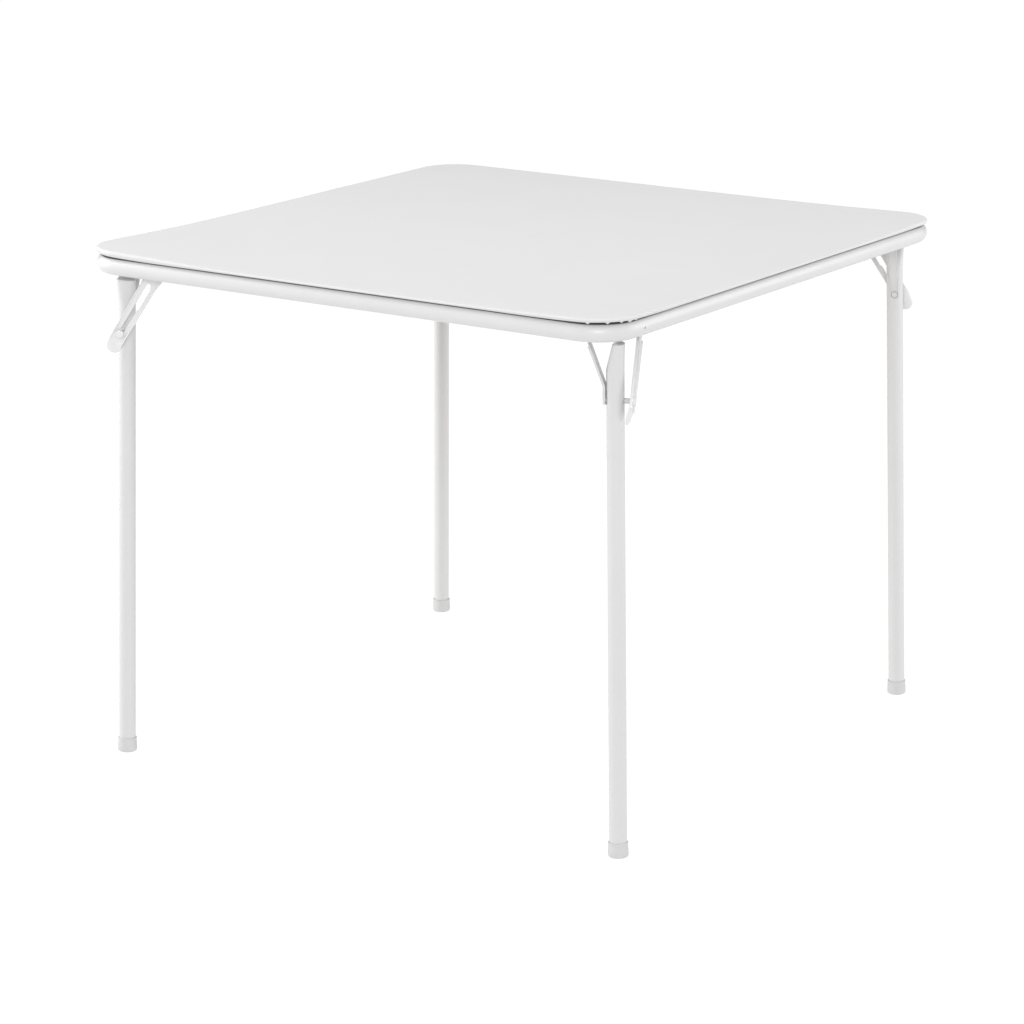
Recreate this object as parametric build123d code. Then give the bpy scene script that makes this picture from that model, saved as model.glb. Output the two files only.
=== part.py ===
import os
from math import atan2, cos, hypot, radians, sin, sqrt, tan

from build123d import *

# A square folding card table. Lengths are in millimetres and angles in degrees.
# The origin is on the floor below the middle of the table, with Z up.

# Overall sizes
table_side = 863.6
table_height = 711.2
corner_radius = 60.0

# Top panel: hardboard and foam in a wrapped vinyl cover
cover_skin = 0.5
foam_thickness = 0.6
board_thickness = 2.2
panel_top_round = 1.7
panel_bottom_round = 1.2
hem_width = 44.0
seat_gap = 0.1
skin_gap = 0.05

# Frame rail: a bent steel tube under the panel's edge
rail_diameter = 25.4
rail_wall = 1.2
vent_diameter = 3.0
vent_from_corner = 75.0

# Panel clips, screws and staples
clip_length = 26.0
clip_reach = 24.0
clip_sheet = 1.5
clip_place_share = 0.19
screw_shank_diameter = 3.2
screw_head_diameter = 7.0
screw_head_height = 2.2
screw_bite = 1.7
screw_recess_width = 0.9
screw_recess_length = 4.2
screw_recess_depth = 1.0
staple_length = 10.0
staple_width = 1.2
staple_thickness = 0.5
staple_count = 11
staple_inset = 32.0
staple_end_gap = 9.8

# Hinge of a leg, seen from its corner: along the rail it folds to, in from that rail, and below its top
hinge_along = 57.7
hinge_inset = 33.6
hinge_drop = 21.3
fold_turn = 20.0
axis_tilt = 0.93
leg_lean = 1.5

# Leg tube with its swaged top
leg_diameter = 23.2
leg_wall = 1.2
tongue_half_width = 11.4
tongue_thickness = 3.0
tongue_offset = 2.0
tongue_start = 9.6
shoulder_start = 13.0
swage_start = 45.0
shoulder_half_width = 13.0
shoulder_depth_share = 0.62
section_points = 24
section_steps = 5

# Hinge pin, its washers and heads
pin_diameter = 6.0
pin_running_gap = 0.06
pin_fixed_gap = 0.04
pin_head_diameter = 9.0
pin_head_height = 2.2
washer_thickness = 0.8
washer_diameter = 11.0
side_gap = 0.3
press_gap = 0.1

# Corner bracket: a web under the panel with three ears folded down
bracket_sheet = 2.0
hinge_ear_half = 9.0
brace_ear_half = 8.5
web_weld_overlap = 8.0
web_corner_cut = 44.0
web_along_reach = 142.0
web_along_width = 50.0
web_across_reach = 88.0
web_across_width = 64.0
web_waist_reach = 78.0
web_screw_along = 78.0
web_screw_inset = 38.0

# Side stay: a pressed channel on the leg's inner side
stay_sheet = 1.5
stay_spread = 33.2
stay_top_half = 7.2
stay_low_half = 6.0
stay_top_round = 8.0
stay_knee_top = 10.8
stay_knee_low = 66.0
stay_lip_height = 1.8
stay_lip_width = 1.2
stay_lip_top = 16.0

# Leg rivet: holds the stay, and its shoulder spaces the brace off the leg
stud_drop = 84.4
stud_offset = -1.8
rivet_diameter = 5.0
rivet_head_diameter = 8.4
rivet_head_height = 2.0
stud_shoulder_diameter = 6.8

# Lock brace: a slotted channel that turns on a rivet on the bracket
brace_sheet = 1.6
brace_plane = 21.0
brace_tilt = 32.0
brace_folded_rise = 4.0
slot_travel = 79.5
brace_half_width = 10.2
brace_shoulder_half = 11.2
brace_shoulder_at = 84.0
brace_end_radius = 9.4
tab_length = 31.0
tab_bend_at = 12.0
tab_bend_in = 4.0
brace_lip_height = 2.2
brace_lip_width = 1.3
brace_lip_start = -13.0
brace_lip_end = 84.0
window_offset = 1.7
window_start = 44.0
window_length = 32.0
stud_neck_diameter = 5.6
slot_gap = 0.3
stud_head_diameter = 11.0
stud_head_height = 2.4
brace_rivet_diameter = 6.0
brace_rivet_head_diameter = 10.0
brace_rivet_head_height = 2.0

# Foot cap
cap_height = 20.0
cap_top_radius = 12.7
cap_low_radius = 13.5
cap_floor = 4.0
cap_bead_height = 2.6
cap_bead_stand = 0.6
cap_round = 2.4
cap_trim = 1.0

# One allowance for every cut that runs past a face
overrun = 2.0

# Worked out from the sizes above
half_side = table_side / 2
rail_radius = rail_diameter / 2
leg_radius = leg_diameter / 2
panel_thickness = 2 * cover_skin + foam_thickness + board_thickness
panel_bottom = table_height - panel_thickness
rail_top = panel_bottom - seat_gap
rail_axis_height = rail_top - rail_radius
hinge_height = rail_top - hinge_drop
staple_row_half = half_side - web_along_reach - staple_end_gap
board_bottom = panel_bottom + cover_skin
board_top = board_bottom + board_thickness
axis_radius = corner_radius - rail_radius
fold_angle = 90.0 + leg_lean
leg_reach = hinge_height / (cos(radians(leg_lean)) * cos(radians(axis_tilt)))
stay_reach = stud_drop + stay_low_half
corner_names = ("front_left", "front_right", "back_right", "back_left")


# Frames of reference

def corner_frame(corner):
    """The corner's own frame: X along the rail that its leg folds to, Y across the table."""
    return Rot(0, 0, 90 * corner) * Pos(-half_side, -half_side, 0)


def hinge_frame(corner):
    """Origin on the hinge axis, X the way the leg folds, Y along the hinge pin, inwards."""
    place = Pos(hinge_along, hinge_inset, hinge_height)
    return corner_frame(corner) * place * Rot(0, 0, fold_turn) * Rot(-axis_tilt, 0, 0)


def leg_frame(corner):
    """The hinge frame leaned back with the open leg, so that -Z runs down the leg."""
    return hinge_frame(corner) * Rot(0, leg_lean, 0)


# Small makers of shapes

def rod_along_y(radius, start, end, along=0, height=0):
    """A round rod along Y from start to end."""
    length = end - start
    place = Pos(along, (start + end) / 2, height) * Rot(90, 0, 0)
    return place * Cylinder(radius, length)


def prism_along_y(face_in_xz, start, end):
    """A face drawn in X and Z, given its thickness along Y from start to end."""
    solid = extrude(Plane.XZ * face_in_xz, amount=-(end - start))
    return Pos(0, start, 0) * solid


def prism_along_x(points_in_yz, half_width):
    """A polygon drawn in Y and Z, given its width along X on both sides of zero."""
    face = Plane.YZ * Polygon(*points_in_yz, align=None)
    return extrude(face, amount=half_width, both=True)


def rounded_plate(side, radius, bottom, thickness):
    """A flat square plate with round corners, standing on the height given."""
    return Pos(0, 0, bottom) * extrude(RectangleRounded(side, side, radius), amount=thickness)


def softened_plate(side, radius, bottom, thickness, top_round, bottom_round):
    """A rounded plate whose upper and lower edges are rounded over."""
    plate = rounded_plate(side, radius, bottom, thickness)
    plate = fillet(plate.faces().sort_by(Axis.Z)[-1].edges(), top_round)
    return fillet(plate.faces().sort_by(Axis.Z)[0].edges(), bottom_round)


def tapered_link(first, first_radius, second, second_radius):
    """The outline round two discs: both discs and the strip between their tangent points."""
    run = (second[0] - first[0], second[1] - first[1])
    length = hypot(*run)
    heading = atan2(run[1], run[0])
    spread = atan2(sqrt(length**2 - (first_radius - second_radius) ** 2), first_radius - second_radius)
    corners = []
    for centre, radius, side in ((first, first_radius, 1), (first, first_radius, -1),
                                 (second, second_radius, -1), (second, second_radius, 1)):
        angle = heading + side * spread
        corners.append((centre[0] + radius * cos(angle), centre[1] + radius * sin(angle)))
    discs = Pos(*first) * Circle(first_radius) + Pos(*second) * Circle(second_radius)
    return discs + Polygon(*corners, align=None)


# Panel: hardboard, foam and cover

def panel_core():
    """The filling of the cover: hardboard below and foam above, as one shape."""
    inset = cover_skin + skin_gap
    return softened_plate(table_side - 2 * inset, corner_radius - inset, board_bottom + skin_gap,
                          panel_thickness - 2 * inset, panel_top_round - cover_skin,
                          panel_bottom_round - cover_skin)


def screw_places():
    """Where the panel screws stand: two on each rail, on the clips, and one on each bracket."""
    clip_inset = rail_diameter + clip_reach / 2
    places = []
    for corner in range(4):
        for share in (-clip_place_share, clip_place_share):
            places.append(Rot(0, 0, 90 * corner) * Pos(share * table_side, clip_inset - half_side, 0))
        places.append(corner_frame(corner) * Pos(web_screw_along, web_screw_inset, 0))
    return places


def screw_holes(radius):
    """Round cutters at every screw, from below the rail's top up to the screw's tip."""
    height = screw_bite + cover_skin + seat_gap + bracket_sheet + overrun
    cutter = Pos(0, 0, board_bottom + screw_bite - height / 2 + press_gap) * Cylinder(radius, height)
    return [place * cutter for place in screw_places()]


def vinyl_cover():
    skin = softened_plate(table_side, corner_radius, panel_bottom, panel_thickness,
                          panel_top_round, panel_bottom_round)
    inset = cover_skin
    hollow = softened_plate(table_side - 2 * inset, corner_radius - inset, panel_bottom + cover_skin,
                            panel_thickness - 2 * inset, panel_top_round - cover_skin,
                            panel_bottom_round - cover_skin)
    opening = rounded_plate(table_side - 2 * hem_width, corner_radius, panel_bottom - cover_skin,
                            2 * cover_skin + overrun / 2)
    cover = skin - hollow - opening
    return cover - screw_holes(screw_shank_diameter / 2 + press_gap)


def hardboard_panel():
    below = Pos(0, 0, board_top) * Box(table_side, table_side, 2 * panel_thickness,
                                       align=(Align.CENTER, Align.CENTER, Align.MAX))
    board = panel_core() & below
    return board - screw_holes(screw_shank_diameter / 2 + press_gap / 2)


def foam_pad():
    above = Pos(0, 0, board_top + skin_gap) * Box(table_side, table_side, 2 * panel_thickness,
                                                  align=(Align.CENTER, Align.CENTER, Align.MIN))
    return panel_core() & above


# Frame rail

def ring_of_tube(radius):
    """A closed ring of round bar on the rail's line."""
    straight = table_side - 2 * corner_radius
    run = Pos(0, rail_radius - half_side, rail_axis_height) * Rot(0, 90, 0) * Cylinder(radius, straight)
    bend_face = Plane.XZ * Pos(axis_radius, 0) * Circle(radius)
    bend = revolve(bend_face, Axis.Z, 90)
    bend_centre = half_side - corner_radius
    pieces = []
    for corner in range(4):
        pieces.append(Rot(0, 0, 90 * corner) * run)
        pieces.append(Rot(0, 0, 90 * corner) * Pos(bend_centre, bend_centre, rail_axis_height) * bend)
    return pieces[0].fuse(*pieces[1:])


def frame_rail():
    rail = ring_of_tube(rail_radius) - ring_of_tube(rail_radius - rail_wall)
    vent = rod_along_y(vent_diameter / 2, -overrun, rail_wall + overrun, vent_from_corner, rail_axis_height)
    return rail - corner_frame(1) * vent


# Panel clips, screws and staples

def panel_clip(along):
    """A small flat tab welded to the rail's inner side, level with the rail's top."""
    inner = rail_diameter + clip_reach
    outer = rail_radius + clip_sheet
    tab = Pos(along, (inner + outer) / 2 - half_side, rail_top - clip_sheet / 2)
    tab = tab * Box(clip_length, inner - outer, clip_sheet)
    return fillet(tab.edges().filter_by(Axis.Z).sort_by(Axis.Y)[-2:], 2 * clip_sheet)


def panel_clips():
    holes = screw_holes(screw_shank_diameter / 2 + press_gap)
    rail = ring_of_tube(rail_radius + skin_gap)
    clips = []
    for corner in range(4):
        for share in (-clip_place_share, clip_place_share):
            clips.append(Rot(0, 0, 90 * corner) * panel_clip(share * table_side) - rail - holes)
    return Compound(children=[clip.solid() for clip in clips])


def panel_screw(seat_height):
    """A pan-head screw, standing up from below into the hardboard, with a cross recess."""
    shank_top = board_bottom + screw_bite
    shank = Pos(0, 0, (seat_height + shank_top) / 2) * Cylinder(screw_shank_diameter / 2, shank_top - seat_height)
    head = Pos(0, 0, seat_height - screw_head_height / 2) * Cylinder(screw_head_diameter / 2, screw_head_height)
    head = fillet(head.edges().sort_by(Axis.Z)[0], screw_head_height / 2)
    recess_height = seat_height - screw_head_height
    bar = Pos(0, 0, recess_height) * Box(screw_recess_length, screw_recess_width, 2 * screw_recess_depth)
    return (shank + head) - bar - Rot(0, 0, 90) * bar


def panel_screws():
    screws = []
    for index, place in enumerate(screw_places()):
        sheet = bracket_sheet if index % 3 == 2 else clip_sheet
        screws.append(place * panel_screw(rail_top - sheet - press_gap / 2))
    return Compound(children=[screw.solid() for screw in screws])


def hem_staples():
    """Flat crowns of the staples that hold the hem, in a row along each side."""
    crown = Pos(0, staple_inset - half_side, panel_bottom - staple_thickness / 2)
    crown = crown * Box(staple_length, staple_width, staple_thickness)
    step = 2 * staple_row_half / (staple_count - 1)
    staples = []
    for corner in range(4):
        for index in range(staple_count):
            along = index * step - staple_row_half
            if abs(abs(along) - clip_place_share * table_side) > (clip_length + staple_length) / 2 + overrun:
                staples.append(Rot(0, 0, 90 * corner) * Pos(along, 0, 0) * crown)
    return Compound(children=[staple.solid() for staple in staples])


# Places along the hinge axis, counted inwards from the leg's centre line
tongue_outer = -tongue_offset - tongue_thickness / 2
tongue_inner = -tongue_offset + tongue_thickness / 2
outer_ear_start = tongue_inner + side_gap
stay_lug_start = stay_spread - stay_sheet / 2
inner_ear_end = stay_lug_start - side_gap
inner_ear_start = inner_ear_end - bracket_sheet
outer_washer_end = tongue_outer - side_gap
pin_outer_seat = outer_washer_end - washer_thickness - press_gap
inner_washer_start = stay_lug_start + stay_sheet + side_gap
pin_inner_seat = inner_washer_start + washer_thickness + press_gap
brace_ear_end = side_gap - brace_plane
brace_outer = -brace_plane - brace_sheet

# The locking linkage, in the hinge frame's X and Z


def turned(point, angle):
    """A point turned about the hinge by the angle that folds the leg."""
    turn = radians(angle)
    return (point[0] * cos(turn) - point[1] * sin(turn), point[0] * sin(turn) + point[1] * cos(turn))


stud_place = turned((stud_offset, -stud_drop), -leg_lean)
brace_up = (sin(radians(brace_tilt)), cos(radians(brace_tilt)))
brace_right = (brace_up[1], -brace_up[0])


def on_brace(across, up):
    """A point of the brace, from the stud's centre, in the hinge frame's X and Z."""
    return (stud_place[0] + across * brace_right[0] + up * brace_up[0],
            stud_place[1] + across * brace_right[1] + up * brace_up[1])


brace_turn = 90.0 + brace_tilt + brace_folded_rise
slot_top = on_brace(0, slot_travel)
stud_folded = turned(stud_place, fold_angle)
chord = (stud_folded[0] - slot_top[0], stud_folded[1] - slot_top[1])
stand_off = 1 / (2 * tan(radians(brace_turn / 2)))
brace_pivot = ((slot_top[0] + stud_folded[0]) / 2 - chord[1] * stand_off,
               (slot_top[1] + stud_folded[1]) / 2 + chord[0] * stand_off)


# Corner bracket

def ear(centre, half_width, start, end):
    """A round-ended ear that hangs from the web round a point in the hinge frame."""
    rise = hinge_drop + overrun
    strip = Pos(centre[0], (centre[1] + rise) / 2) * Rectangle(2 * half_width, rise - centre[1])
    return prism_along_y(strip + Pos(*centre) * Circle(half_width), start, end)


def bracket_web():
    """The flat plate that joins both rails under the panel."""
    weld_line = rail_diameter - web_weld_overlap
    outline = Polygon((weld_line, web_corner_cut), (web_corner_cut, weld_line),
                      (web_along_reach, weld_line), (web_along_reach, web_along_width),
                      (web_across_width, web_waist_reach), (web_across_width - weld_line, web_across_reach),
                      (weld_line, web_across_reach), align=None)
    return Pos(0, 0, rail_top - bracket_sheet) * extrude(outline, amount=bracket_sheet)


def corner_bracket(corner):
    frame = hinge_frame(corner)
    ears = [ear((0, 0), hinge_ear_half, outer_ear_start, outer_ear_start + bracket_sheet),
            ear((0, 0), hinge_ear_half, inner_ear_start, inner_ear_end),
            ear(brace_pivot, brace_ear_half, brace_ear_end, brace_ear_end + bracket_sheet)]
    bracket = corner_frame(corner) * bracket_web()
    for piece in ears:
        bracket = bracket + frame * piece
    above = Pos(0, 0, rail_top) * Box(table_side, table_side, table_height,
                                      align=(Align.CENTER, Align.CENTER, Align.MIN))
    pin_hole = rod_along_y(pin_diameter / 2 + pin_fixed_gap, outer_ear_start - overrun, inner_ear_end + overrun)
    brace_hole = rod_along_y(brace_rivet_diameter / 2 + pin_fixed_gap, brace_ear_end - overrun,
                             brace_ear_end + bracket_sheet + overrun, *brace_pivot)
    bracket = bracket - above - frame * pin_hole - frame * brace_hole
    hole = screw_holes(screw_shank_diameter / 2 + press_gap)[3 * corner + 2]
    return (bracket - ring_of_tube(rail_radius + skin_gap) - hole).solid()


# Hinge pin, washers and brace rivet

def hinge_pin():
    shank = rod_along_y(pin_diameter / 2, pin_outer_seat, pin_inner_seat)
    outer = rod_along_y(pin_head_diameter / 2, pin_outer_seat - pin_head_height, pin_outer_seat)
    outer = fillet(outer.edges().sort_by(Axis.Y)[0], pin_head_height / 2)
    inner = rod_along_y(pin_head_diameter / 2, pin_inner_seat, pin_inner_seat + pin_head_height)
    inner = fillet(inner.edges().sort_by(Axis.Y)[-1], pin_head_height / 2)
    return shank + outer + inner


def hinge_washers():
    washers = []
    for start in (outer_washer_end - washer_thickness, inner_washer_start):
        disc = rod_along_y(washer_diameter / 2, start, start + washer_thickness)
        bore = rod_along_y(pin_diameter / 2 + pin_fixed_gap, start - overrun, start + washer_thickness + overrun)
        washers.append((disc - bore).solid())
    return Compound(children=washers)


def brace_rivet():
    inner_seat = brace_ear_end + bracket_sheet + pin_fixed_gap
    outer_seat = brace_outer - side_gap
    shank = rod_along_y(brace_rivet_diameter / 2, outer_seat, inner_seat, *brace_pivot)
    outer = rod_along_y(brace_rivet_head_diameter / 2, outer_seat - brace_rivet_head_height, outer_seat,
                        *brace_pivot)
    outer = fillet(outer.edges().sort_by(Axis.Y)[0], brace_rivet_head_height / 2)
    inner = rod_along_y(brace_rivet_head_diameter / 2, inner_seat, inner_seat + brace_rivet_head_height,
                        *brace_pivot)
    inner = fillet(inner.edges().sort_by(Axis.Y)[-1], brace_rivet_head_height / 2)
    return shank + outer + inner


# Leg tube

def swage_section(half_width, inner_side, outer_side, height, squareness):
    """One closed section of the swaged tube, between its inner and outer sides."""
    centre = (inner_side + outer_side) / 2
    half_depth = (inner_side - outer_side) / 2
    power = 1 / (1 + squareness)
    points = []
    for index in range(section_points):
        angle = 2 * 180 * index / section_points
        across = cos(radians(angle))
        along = sin(radians(angle))
        wide = half_width * abs(across) ** power * (1 if across > 0 else -1)
        deep = half_depth * abs(along) ** power * (1 if along > 0 else -1)
        points.append((wide, centre + deep, height))
    return Face(Wire(Spline(*points, periodic=True)))


def swaged_sections(wall, foot):
    """Sections of the tube from its foot up to the swage's shoulder, a wall inside its skin."""
    tube_half = leg_radius - wall
    shoulder_side = leg_radius - leg_diameter * (1 - shoulder_depth_share)
    sections = [swage_section(tube_half, tube_half, -tube_half, foot, 0)]
    for step in range(section_steps + 1):
        share = step / section_steps
        inner = tube_half - (leg_radius - shoulder_side) * share
        height = -swage_start + (swage_start - shoulder_start) * share
        half_width = tube_half + (shoulder_half_width - leg_radius) * share
        sections.append(swage_section(half_width, inner, -tube_half, height, share / 2))
    return sections


def leg_tube():
    """A round tube, its top pressed flat from the inner side into a round-ended tongue."""
    neck = swage_section(tongue_half_width, tongue_inner, tongue_outer, -tongue_start, 1)
    skin = loft(swaged_sections(0, cap_floor - leg_reach) + [neck], ruled=True)
    hollow = loft(swaged_sections(leg_wall, -leg_reach), ruled=True)
    tongue = Circle(tongue_half_width)
    tongue = tongue + Pos(0, -tongue_start / 2) * Rectangle(2 * tongue_half_width, tongue_start)
    leg = skin + prism_along_y(tongue, tongue_outer, tongue_inner) - hollow
    pin_hole = rod_along_y(pin_diameter / 2 + pin_running_gap, tongue_outer - overrun, tongue_inner + overrun)
    rivet_hole = rod_along_y(rivet_diameter / 2 + pin_fixed_gap, -leg_diameter, leg_diameter,
                             stud_offset, -stud_drop)
    return (leg - pin_hole - rivet_hole).solid()


# Side stay

def stay_line(offset):
    """The stay's bent line seen along X, moved inwards by an offset, from its top down."""
    foot = leg_radius + skin_gap
    top = stay_top_round + overrun
    return [(stay_lug_start + offset, top), (stay_lug_start + offset, -stay_knee_top),
            (foot + offset, -stay_knee_low), (foot + offset, -stay_reach - overrun)]


def stay_layer(start, end):
    """A bent layer of the stay, between two offsets, wider than the stay itself."""
    points = stay_line(start) + list(reversed(stay_line(end)))
    return prism_along_x(points, 2 * stay_top_round)


def stay_outline(inset):
    """The stay seen from inside the table: a long link, round at both ends."""
    return tapered_link((0, 0), stay_top_half - inset, (stud_offset, -stud_drop), stay_low_half - inset)


def side_stay():
    outline = stay_outline(0) + Circle(stay_top_round)
    sheet = prism_along_y(outline, 0, 2 * stay_spread) & stay_layer(0, stay_sheet)
    rim = stay_outline(0) - stay_outline(stay_lip_width)
    below = Pos(0, -(stay_lip_top + stay_reach + overrun) / 2)
    below = below * Rectangle(4 * stay_top_round, stay_reach + overrun - stay_lip_top)
    lip = prism_along_y(rim & below, 0, 2 * stay_spread)
    lip = lip & stay_layer(stay_sheet / 2, stay_sheet + stay_lip_height)
    pin_hole = rod_along_y(pin_diameter / 2 + pin_running_gap, stay_lug_start - overrun,
                           stay_lug_start + stay_sheet + overrun)
    rivet_hole = rod_along_y(rivet_diameter / 2 + pin_fixed_gap, 0, leg_diameter, stud_offset, -stud_drop)
    return (sheet + lip - pin_hole - rivet_hole).solid()


# Leg rivet and lock stud

def leg_rivet():
    seat = leg_radius + skin_gap + stay_sheet + pin_fixed_gap
    shoulder_start_y = -leg_radius - skin_gap
    shank = rod_along_y(rivet_diameter / 2, shoulder_start_y, seat, stud_offset, -stud_drop)
    head = rod_along_y(rivet_head_diameter / 2, seat, seat + rivet_head_height, stud_offset, -stud_drop)
    head = fillet(head.edges().sort_by(Axis.Y)[-1], rivet_head_height / 2)
    shoulder = rod_along_y(stud_shoulder_diameter / 2, side_gap - brace_plane, shoulder_start_y,
                           stud_offset, -stud_drop)
    return shank + head + shoulder


def lock_stud():
    """The stud's neck in the slot, and its head outside the brace."""
    seat = brace_outer - side_gap
    neck = rod_along_y(stud_neck_diameter / 2, seat, -brace_plane, *stud_place)
    head = rod_along_y(stud_head_diameter / 2, seat - stud_head_height, seat, *stud_place)
    head = fillet(head.edges().sort_by(Axis.Y)[0], stud_head_height / 2)
    return neck + head


# Lock brace

def brace_outline(inset):
    """The brace's outline in its own axes: across it, and up it from the stud."""
    pivot_across = ((brace_pivot[0] - stud_place[0]) * brace_right[0]
                    + (brace_pivot[1] - stud_place[1]) * brace_right[1])
    pivot_up = ((brace_pivot[0] - stud_place[0]) * brace_up[0]
                + (brace_pivot[1] - stud_place[1]) * brace_up[1])
    low = (0, brace_half_width - tab_length)
    middle = (0, brace_shoulder_at)
    end = (pivot_across, pivot_up)
    body = tapered_link(low, brace_half_width - inset, middle, brace_shoulder_half - inset)
    return body + tapered_link(middle, brace_shoulder_half - inset, end, brace_end_radius - inset)


def brace_slot():
    """The slot that the stud slides in, with a wider window beside its upper part."""
    radius = stud_neck_diameter / 2 + slot_gap
    run = tapered_link((0, 0), radius, (0, slot_travel), radius)
    window = tapered_link((window_offset, window_start), radius,
                          (window_offset, window_start + window_length), radius)
    return run + window


def lock_brace():
    """The slotted channel, its tab bent in towards the leg."""
    reach = 2 * slot_travel
    bend = -tab_bend_at
    tip = -tab_length - overrun
    slope = tab_bend_in / (tab_length - tab_bend_at)
    inward = slope * (bend - tip)
    profile = [(brace_outer, reach), (brace_outer, bend), (brace_outer + inward, tip),
               (-brace_plane + inward, tip), (-brace_plane, bend), (-brace_plane, reach)]
    outline = brace_outline(0)
    sheet = prism_along_y(outline, 2 * brace_outer, 0) & prism_along_x(profile, 2 * brace_end_radius)
    rim = outline - brace_outline(brace_lip_width)
    band = Pos(0, (brace_lip_start + brace_lip_end) / 2)
    band = band * Rectangle(4 * brace_end_radius, brace_lip_end - brace_lip_start)
    lip = prism_along_y(rim & band, brace_outer - brace_lip_height, brace_outer + brace_sheet / 2)
    brace = sheet + lip - prism_along_y(brace_slot(), 2 * brace_outer, 0)
    place = Pos(stud_place[0], 0, stud_place[1]) * Rot(0, brace_tilt, 0)
    hole = rod_along_y(brace_rivet_diameter / 2 + pin_running_gap, 2 * brace_outer, 0, *brace_pivot)
    return (place * brace - hole).solid()


# Foot cap

def foot_cap():
    """A moulded cap pushed over the tube's end, before its sole is cut level."""
    bottom = -leg_reach - cap_trim
    top = bottom + cap_trim + cap_height
    bead = cap_top_radius + cap_bead_stand
    profile = Polyline((0, bottom), (cap_low_radius, bottom), (cap_top_radius, top - cap_bead_height),
                       (bead, top - cap_bead_height / 2), (cap_top_radius, top), (0, top), close=True)
    body = revolve(Plane.XZ * make_face(profile), Axis.Z, 360)
    body = fillet(body.edges().filter_by(GeomType.CIRCLE).sort_by(Axis.Z)[0], cap_round)
    bore_length = cap_height
    bore = Pos(0, 0, -leg_reach + cap_floor + bore_length / 2) * Cylinder(leg_radius + skin_gap, bore_length)
    return body - bore


def levelled_cap(corner):
    floor = Box(2 * table_side, 2 * table_side, table_height, align=(Align.CENTER, Align.CENTER, Align.MAX))
    return (leg_frame(corner) * foot_cap() - floor).solid()


# Build and write every piece

def build_pieces():
    pieces = {
        "vinyl_cover": vinyl_cover(),
        "foam_pad": foam_pad(),
        "hardboard_panel": hardboard_panel(),
        "frame_rail": frame_rail(),
        "panel_clips": panel_clips(),
        "panel_screws": panel_screws(),
        "hem_staples": hem_staples(),
    }
    on_hinge = {"hinge_pin": hinge_pin(), "hinge_washers": hinge_washers(), "brace_rivet": brace_rivet(),
                "lock_brace": lock_brace(), "lock_stud": lock_stud()}
    on_leg = {"leg_tube": leg_tube(), "side_stay": side_stay(), "leg_rivet": leg_rivet()}
    for corner, name in enumerate(corner_names):
        pieces["corner_bracket_" + name] = corner_bracket(corner)
        pieces["foot_cap_" + name] = levelled_cap(corner)
        for piece_name, shape in on_hinge.items():
            pieces[piece_name + "_" + name] = hinge_frame(corner) * shape
        for piece_name, shape in on_leg.items():
            pieces[piece_name + "_" + name] = leg_frame(corner) * shape
    return pieces


os.makedirs("parts", exist_ok=True)
for piece_name, shape in build_pieces().items():
    export_step(shape, "parts/" + piece_name + ".step")

print("fold angle", round(fold_angle, 3), "brace turn", round(brace_turn, 3), "slot travel", slot_travel)
print("brace pivot from the hinge", [round(value, 3) for value in brace_pivot])
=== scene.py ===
import math

import bmesh
import bpy
from mathutils import Matrix, Vector


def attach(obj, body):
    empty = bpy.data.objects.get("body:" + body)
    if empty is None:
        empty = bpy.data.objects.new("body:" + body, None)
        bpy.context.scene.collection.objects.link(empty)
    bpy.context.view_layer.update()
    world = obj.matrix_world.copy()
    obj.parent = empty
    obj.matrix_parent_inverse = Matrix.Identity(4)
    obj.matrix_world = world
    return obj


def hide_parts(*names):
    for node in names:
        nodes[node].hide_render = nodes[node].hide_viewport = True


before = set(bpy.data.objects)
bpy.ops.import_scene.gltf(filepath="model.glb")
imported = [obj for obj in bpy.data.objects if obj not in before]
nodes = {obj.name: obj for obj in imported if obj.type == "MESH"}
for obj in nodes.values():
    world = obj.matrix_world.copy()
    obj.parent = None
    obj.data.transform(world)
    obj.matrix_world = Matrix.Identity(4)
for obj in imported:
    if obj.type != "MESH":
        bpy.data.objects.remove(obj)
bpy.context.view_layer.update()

# Viewpoint.
# The table is seen from a little above its top and well back, over one corner,
# with a long lens, so that its legs stay nearly parallel.
viewer_at = Vector((2.7939, -4.1107, 1.6600))
viewer_yaw = math.radians(34.337)
viewer_dip = math.radians(15.183)
viewer_roll = math.radians(-0.195)
lens = bpy.data.cameras.new("camera")
lens.lens = 127.74
lens.sensor_width = 36.0
lens.clip_end = 60.0
camera = bpy.data.objects.new("camera", lens)
camera.matrix_world = (Matrix.Translation(viewer_at) @ Matrix.Rotation(viewer_yaw, 4, "Z")
                       @ Matrix.Rotation(math.pi / 2 - viewer_dip, 4, "X")
                       @ Matrix.Rotation(viewer_roll, 4, "Z"))
bpy.context.scene.collection.objects.link(camera)
bpy.context.scene.camera = camera


# Studio.
# A pale floor without corners, white air all round, and four soft boxes: one over
# the table, one at each hand of it and one behind the viewer.
class Wire:
    """One output of a shader node. Sums and products of it add Math nodes."""

    def __init__(self, finish, socket):
        self.finish = finish
        self.socket = socket

    def maths(self, operation, first, second):
        return self.finish.maths(operation, first, second)

    def __add__(self, other):
        return self.maths("ADD", self, other)

    def __radd__(self, other):
        return self.maths("ADD", other, self)

    def __sub__(self, other):
        return self.maths("SUBTRACT", self, other)

    def __rsub__(self, other):
        return self.maths("SUBTRACT", other, self)

    def __mul__(self, other):
        return self.maths("MULTIPLY", self, other)

    def __pow__(self, other):
        return self.maths("POWER", self, other)

    def from_to(self, low, high):
        """0 below the low value, 1 above the high one, and smooth between them."""
        return self.finish.node("ShaderNodeMapRange", {"interpolation_type": "SMOOTHSTEP"},
                                {"Value": self, "From Min": low, "From Max": high})


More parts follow.
